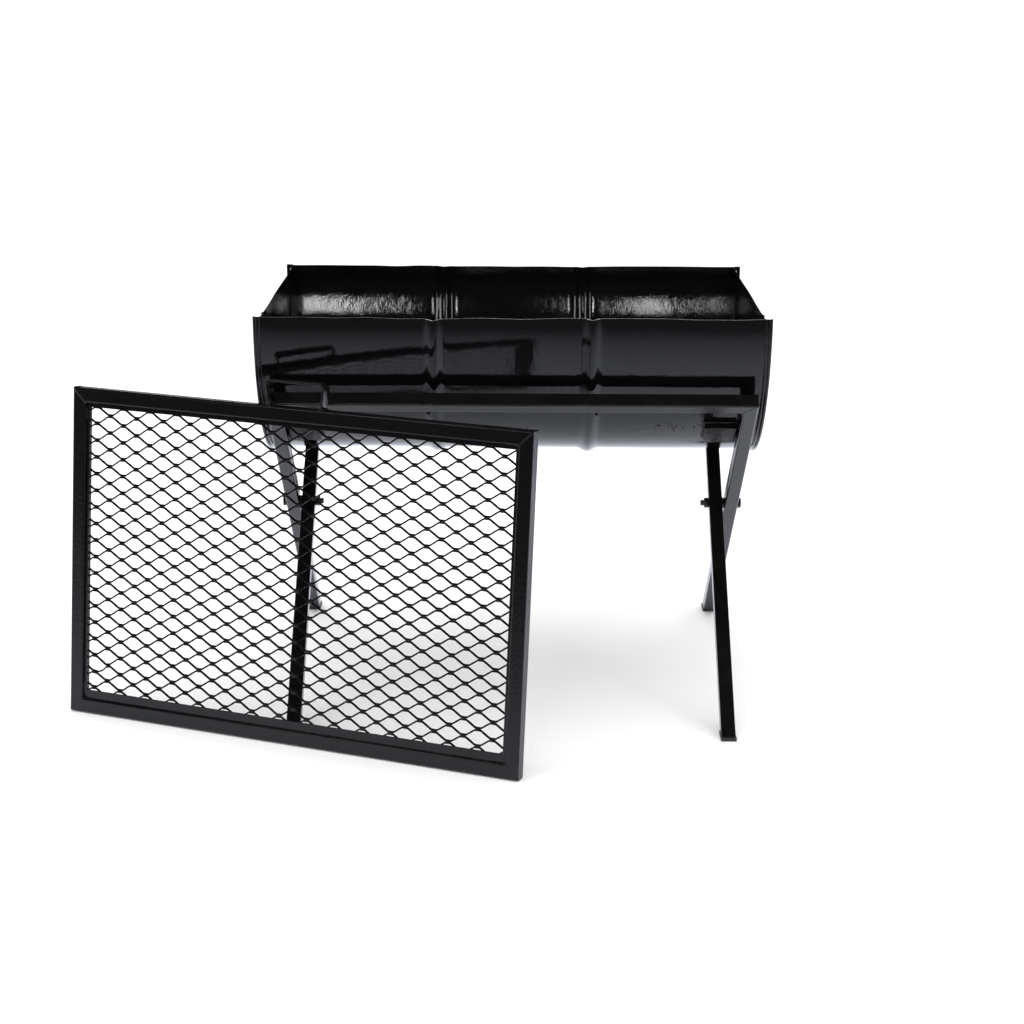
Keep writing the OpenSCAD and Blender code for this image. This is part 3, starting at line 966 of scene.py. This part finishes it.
class CAMPGRILL_OT_grid_welds(Operator):
    """Welds at the grid's corners, along its strips and at the feet of its handle"""

    bl_idname = "campgrill.grid_welds"
    bl_label = "Grid welds"

    def execute(self, context):
        grid = context.scene.camp_grid
        place = on_grid()
        facing = place.to_3x3()
        beads = []

        def bead(start, end, outward, width, height):
            ends = place @ Vector(start), place @ Vector(end)
            beads.append(lay_bead(*ends, facing @ Vector(outward), width, height, len(beads)))

        tube, wide, high = grid.tube, grid.width, grid.height
        sunk, strip = 0.2 * MM, 6.2 * MM
        for x, dx in ((0.0, 1), (wide, -1)):
            for z, dz in ((0.0, 1), (high, -1)):
                inner = (x + dx * tube, z + dz * tube)
                outer = (x + dx * 0.0035, z + dz * 0.0035)
                mitres = ((sunk, -1, 0.0045, 0.0006), (tube - sunk, 1, 0.006, 0.0014))
                for depth, out, width, height in mitres:
                    bead((outer[0], depth, outer[1]), (inner[0], depth, inner[1]), (0, out, 0), width, height)
                bead((inner[0], 0.0015, inner[1]), (inner[0], 0.0062, inner[1]), (dx, 0, dz), 0.007, 0.0022)
                if dz < 0:
                    tip_x, tip_z = x + dx * sunk, z + dz * sunk
                    bead((tip_x, 0.004, tip_z), (tip_x, tube - 0.004, tip_z), (-dx, 0, -dz), 0.003, 0.0005)
                step, side_z = inner[0] + dx * 0.004, inner[1] + dz * 0.0004
                bead((step, strip, side_z), (step + dx * 0.017, strip, side_z), (0, -1, dz), 0.0036, 0.0014)
                side_x, low, top = inner[0] + dx * 0.0004, inner[1] + dz * 0.012, inner[1] + dz * 0.027
                bead((side_x, strip, low), (side_x, strip, top), (dx, -1, 0), 0.0034, 0.0013)
        for part in range(1, 6):
            x = tube + part * (wide - 2 * tube) / 6
            for z, dz in ((tube, 1), (high - tube, -1)):
                back_z = z + dz * 0.0004
                bead((x - 0.008, 0.0094, back_z), (x + 0.008, 0.0094, back_z), (0, 1, dz), 0.004, 0.002)
        foot = grid.handle_width / 2 - 0.006
        for side in (-1, 1):
            for out in (-1, 1):
                x = wide / 2 + side * foot + out * 0.0024
                bead((x, 0.003, high + 0.0002), (x, 0.022, high + 0.0002), (out, 0, 1), 0.0052, 0.0026)
        whole = joined("grid_welds", beads)
        finished(whole, "grid", "grid_paint", painted("Weld paint"), angle=60)
        return {"FINISHED"}


def frame_place(slope):
    """The plane of one frame of the stand: X along the pivots and Y up its slope"""
    return Matrix.Translation(STAND_MIDDLE) @ Matrix.Rotation(slope, 4, "X")


class CAMPGRILL_OT_stand_welds(Operator):
    """Welds at the mitres of both frames"""

    bl_idname = "campgrill.stand_welds"
    bl_label = "Stand welds"

    def execute(self, context):
        stand = context.scene.camp_stand
        tube, slope = stand.tube, stand.slope
        frames = (
            ("outer_frame", math.pi - slope, stand.outer_leg, stand.front_rail, "outer_mitre_welds"),
            ("inner_frame", slope, stand.inner_leg, stand.rear_rail, "inner_mitre_welds"),
        )
        for body, turn, leg, rail, name in frames:
            place = frame_place(turn)
            facing = place.to_3x3()
            beads = []
            for side in (-1, 1):
                inner = (side * (leg - tube / 2), rail - tube / 2)
                outer = (side * (leg + tube / 2 - 0.0025), rail + tube / 2 - 0.0025)
                for face in (-1, 1):
                    beads.append(lay_bead(
                        place @ Vector((outer[0], outer[1], face * (tube / 2 - 0.0001))),
                        place @ Vector((inner[0], inner[1], face * (tube / 2 - 0.0001))),
                        facing @ Vector((0, 0, face)), 0.0046, 0.0008, len(beads)))
                beads.append(lay_bead(
                    place @ Vector((inner[0], inner[1], -tube / 2 + 0.003)),
                    place @ Vector((inner[0], inner[1], tube / 2 - 0.003)),
                    facing @ Vector((-side, -1, 0)), 0.0065, 0.0024, len(beads)))
            finished(joined(name, beads), body, "stand_paint", painted("Weld paint"), angle=60)
        return {"FINISHED"}


def on_skin(x, below, lift=0.0, side=-1):
    """A point on the drum's outside, this far round below the rim, and the way it faces"""
    drum = bpy.context.scene.camp_drum
    rise = hoop_rise(x, drum)
    facing = Vector((0, side * math.cos(below), -math.sin(below)))
    return DRUM_MIDDLE + Vector((x, 0, 0)) + facing * (drum.radius + rise + lift), facing


class CAMPGRILL_OT_block_welds(Operator):
    """Welds round the locating blocks, and the spatter beside them"""

    bl_idname = "campgrill.block_welds"
    bl_label = "Block welds"

    def execute(self, context):
        drum = context.scene.camp_drum
        low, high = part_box("block_right")
        middle = (low.x + high.x) / 2 - STAND_MIDDLE.x
        half_x = (high.x - low.x) / 2
        seat = math.pi / 2 - context.scene.camp_stand.slope
        arc = 0.026 / drum.radius
        pieces = []
        for side in (-1, 1):
            for edge in (-1, 1):
                spot, facing = on_skin(0, seat + edge * (arc + 0.001), 0.0006)
                down = Vector((0, facing.z, -facing.y)) * edge
                start = Vector((DRUM_MIDDLE.x + side * middle - half_x, spot.y, spot.z))
                end = Vector((DRUM_MIDDLE.x + side * middle + half_x, spot.y, spot.z))
                pieces.append(lay_bead(start, end, facing + down * 0.6, 0.0085, 0.0032, len(pieces), 0.0036))
            for edge in (-1, 1):
                x = side * middle + edge * (half_x + 0.0006)
                for part in range(3):
                    first = seat - arc + part * arc * 2 / 3
                    start, facing = on_skin(x, first, 0.0002)
                    end, _ = on_skin(x, first + arc * 2 / 3, 0.0002)
                    lean = facing + Vector((edge * 0.7, 0, 0))
                    pieces.append(lay_bead(start, end, lean, 0.0075, 0.0030, len(pieces), 0.0036))
        chance = random.Random(11)
        clear_bench()
        bpy.ops.mesh.primitive_uv_sphere_add(segments=8, ring_count=5, radius=0.0011, location=(0, 0, 0))
        drop = bpy.context.object
        drop.name = "spatter_drop"
        bpy.ops.object.mode_set(mode="EDIT")
        pick(drop, "VERT", lambda v: v.co.z < -0.0001)
        bpy.ops.transform.resize(value=(1.35, 1.35, 0.5), center_override=(0, 0, 0))
        bpy.ops.object.mode_set(mode="OBJECT")
        clusters = (
            (0.275, seat - 0.05, 26), (0.022, seat + 0.02, 8),
            (-0.290, seat - 0.06, 16), (0.372, seat + 0.15, 8),
        )
        for x, round_at, count in clusters:
            for _ in range(count):
                place, facing = on_skin(x + chance.gauss(0, 0.016), round_at + chance.gauss(0, 0.035), 0.0002)
                size = chance.uniform(0.6, 1.5)
                twin = copy_of(drop, "spatter")
                turn = facing.to_track_quat("Z", "Y").to_matrix().to_4x4()
                settle(twin, Matrix.Translation(place) @ turn @ Matrix.Scale(size, 4))
                pieces.append(twin)
        bpy.data.objects.remove(drop)
        finished(joined("block_welds", pieces), "drum", "drum_paint", painted("Weld paint"), angle=60)
        return {"FINISHED"}


# ---- The stage ------------------------------------------------------------------------


def softbox(name, place, aim, width, height, power, shape="RECTANGLE"):
    light = bpy.data.lights.new(name, "AREA")
    light.shape = shape
    light.size = width
    light.size_y = height
    light.energy = power
    lamp = bpy.data.objects.new(name, light)
    bpy.context.scene.collection.objects.link(lamp)
    lamp.location = place
    lamp.rotation_mode = "QUATERNION"
    lamp.rotation_quaternion = (Vector(aim) - Vector(place)).to_track_quat("-Z", "Y")
    return lamp


def floor_material():
    """Pale matt floor. What gloss paint mirrors of it grows dim towards the front: painted shade, seen only
    in reflections, with a cool tint
    """
    material = bpy.data.materials.new("Studio floor")
    material.use_nodes = True
    tree = material.node_tree
    shader = tree.nodes["Principled BSDF"]
    place = add_node(tree, "ShaderNodeTexCoord").outputs["Object"]
    tone = blend_colour(tree, noise(tree, place, 1.5, 3.0), (0.90, 0.90, 0.90, 1.0), (0.94, 0.94, 0.94, 1.0))
    away = add_node(tree, "ShaderNodeSeparateXYZ")
    wire(tree, place, away.inputs[0])
    # Painted shade: for glossy rays the floor's colour darkens towards the front, standing in for less light
    # on the front of the floor.
    front_shade_ramp = spread(tree, away.outputs["Y"], 0.2, -2.6, 0.0, 1.0)
    path = add_node(tree, "ShaderNodeLightPath")
    painted_front_shade = sums(tree, "MULTIPLY", front_shade_ramp, path.outputs["Is Glossy Ray"])
    # Painted reflection tint: glossy rays see the floor a cool pale blue.
    tone = blend_colour(tree, path.outputs["Is Glossy Ray"], tone, (0.86, 0.89, 0.98, 1.0))
    wire(tree, blend_colour(tree, painted_front_shade, tone, (0.060, 0.060, 0.066, 1.0)), shader.inputs["Base Color"])
    shader.inputs["Roughness"].default_value = 0.9
    shader.inputs["Specular IOR Level"].default_value = 0.1
    return material


class CAMPGRILL_OT_stage(Operator):
    """Lays the floor, sets the camera and hangs the studio lights"""

    bl_idname = "campgrill.stage"
    bl_label = "Stage"

    def execute(self, context):
        stage = context.scene.camp_stage
        clear_bench()
        bpy.ops.mesh.primitive_plane_add(size=2 * stage.floor_size, location=(0, 0, 0))
        floor = bpy.context.object
        floor.name = "studio_floor"
        floor.data.materials.append(floor_material())
        self.hang_lights(context)
        self.set_camera(context, stage)
        context.scene.view_settings.view_transform = "Standard"
        clear_bench()
        return {"FINISHED"}

    def hang_lights(self, context):
        sun = bpy.data.lights.new("ceiling_bounce", "SUN")
        sun.energy = 1.1
        sun.angle = math.radians(70)
        lamp = bpy.data.objects.new("ceiling_bounce", sun)
        context.scene.collection.objects.link(lamp)
        lamp.rotation_euler = (math.radians(8), math.radians(-6), 0)
        lamp.visible_glossy = False
        softbox("softbox_left", (-2.6, -2.6, 2.0), (0.0, 0.1, 0.6), 0.9, 1.2, 12)
        softbox("softbox_right", (3.0, -2.2, 2.0), (0.3, 0.1, 0.6), 0.9, 1.2, 16)
        softbox("softbox_back", (0.6, 3.6, 2.6), (0.1, 0.1, 0.5), 1.6, 0.6, 30)
        softbox("strip_left", (-0.69, -5.5, 2.9), (-0.17, 0.4, 0.68), 0.20, 1.3, 15, "ELLIPSE")
        softbox("strip_right", (0.84, -5.5, 2.9), (0.45, 0.4, 0.68), 0.24, 1.3, 11, "ELLIPSE")
        world = bpy.data.worlds.new("Studio")
        context.scene.world = world
        world.use_nodes = True
        tree = world.node_tree
        room = tree.nodes["Background"]
        room.inputs["Color"].default_value = (0.03, 0.03, 0.031, 1.0)
        seen = add_node(tree, "ShaderNodeBackground")
        seen.inputs["Color"].default_value = (1.0, 1.0, 1.0, 1.0)
        path = add_node(tree, "ShaderNodeLightPath")
        either = add_node(tree, "ShaderNodeMixShader")
        wire(tree, path.outputs["Is Glossy Ray"], either.inputs[0])
        wire(tree, seen.outputs[0], either.inputs[1])
        wire(tree, room.outputs[0], either.inputs[2])
        wire(tree, either.outputs[0], tree.nodes["World Output"].inputs["Surface"])

    def set_camera(self, context, stage):
        lens = bpy.data.cameras.new("camera")
        lens.lens = stage.lens
        lens.sensor_width = 36.0
        lens.clip_end = 400.0
        camera = bpy.data.objects.new("camera", lens)
        context.scene.collection.objects.link(camera)
        yaw, pitch, roll = stage.camera_yaw, stage.camera_pitch, stage.camera_roll
        ahead = Vector((math.sin(yaw) * math.cos(pitch), math.cos(yaw) * math.cos(pitch), -math.sin(pitch)))
        level = Vector((math.cos(yaw), -math.sin(yaw), 0))
        upright = level.cross(ahead)
        right = level * math.cos(roll) + upright * math.sin(roll)
        up = upright * math.cos(roll) - level * math.sin(roll)
        turn = Matrix((right, up, -ahead)).transposed().to_4x4()
        camera.matrix_world = Matrix.Translation(Vector(stage.camera_place)) @ turn
        context.scene.camera = camera


# ---- Panel and registration -----------------------------------------------------------

PIECES = (
    CAMPGRILL_OT_stage,
    CAMPGRILL_OT_drum_skin,
    CAMPGRILL_OT_end_seams,
    CAMPGRILL_OT_end_discs,
    CAMPGRILL_OT_locating_blocks,
    CAMPGRILL_OT_block_welds,
    CAMPGRILL_OT_stand_frames,
    CAMPGRILL_OT_stand_welds,
    CAMPGRILL_OT_crossing_bolts,
    CAMPGRILL_OT_foot_caps,
    CAMPGRILL_OT_grid_frame,
    CAMPGRILL_OT_expanded_mesh,
    CAMPGRILL_OT_grid_handle,
    CAMPGRILL_OT_grid_welds,
)


class CAMPGRILL_PT_pieces(Panel):
    """Lists the pieces of the camp grill"""

    bl_label = "Camp grill"
    bl_idname = "CAMPGRILL_PT_pieces"
    bl_space_type = "VIEW_3D"
    bl_region_type = "UI"
    bl_category = "Camp grill"

    def draw(self, context):
        for group, kind in SETTINGS.items():
            box = self.layout.box()
            for label in kind.__annotations__:
                box.prop(getattr(context.scene, group), label)
        for piece in PIECES:
            self.layout.operator(piece.bl_idname)


SETTINGS = {
    "camp_drum": DrumSettings,
    "camp_stand": StandSettings,
    "camp_grid": GridSettings,
    "camp_paint": PaintSettings,
    "camp_stage": StageSettings,
}
CLASSES = tuple(SETTINGS.values()) + PIECES + (CAMPGRILL_PT_pieces,)


def register():
    for item in CLASSES:
        bpy.utils.register_class(item)
    for label, kind in SETTINGS.items():
        setattr(bpy.types.Scene, label, PointerProperty(type=kind))


def unregister():
    for label in SETTINGS:
        delattr(bpy.types.Scene, label)
    for item in reversed(CLASSES):
        bpy.utils.unregister_class(item)


def main():
    register()
    for piece in PIECES:
        group, name = piece.bl_idname.split(".")
        getattr(getattr(bpy.ops, group), name)()


if __name__ == "__main__":
    main()
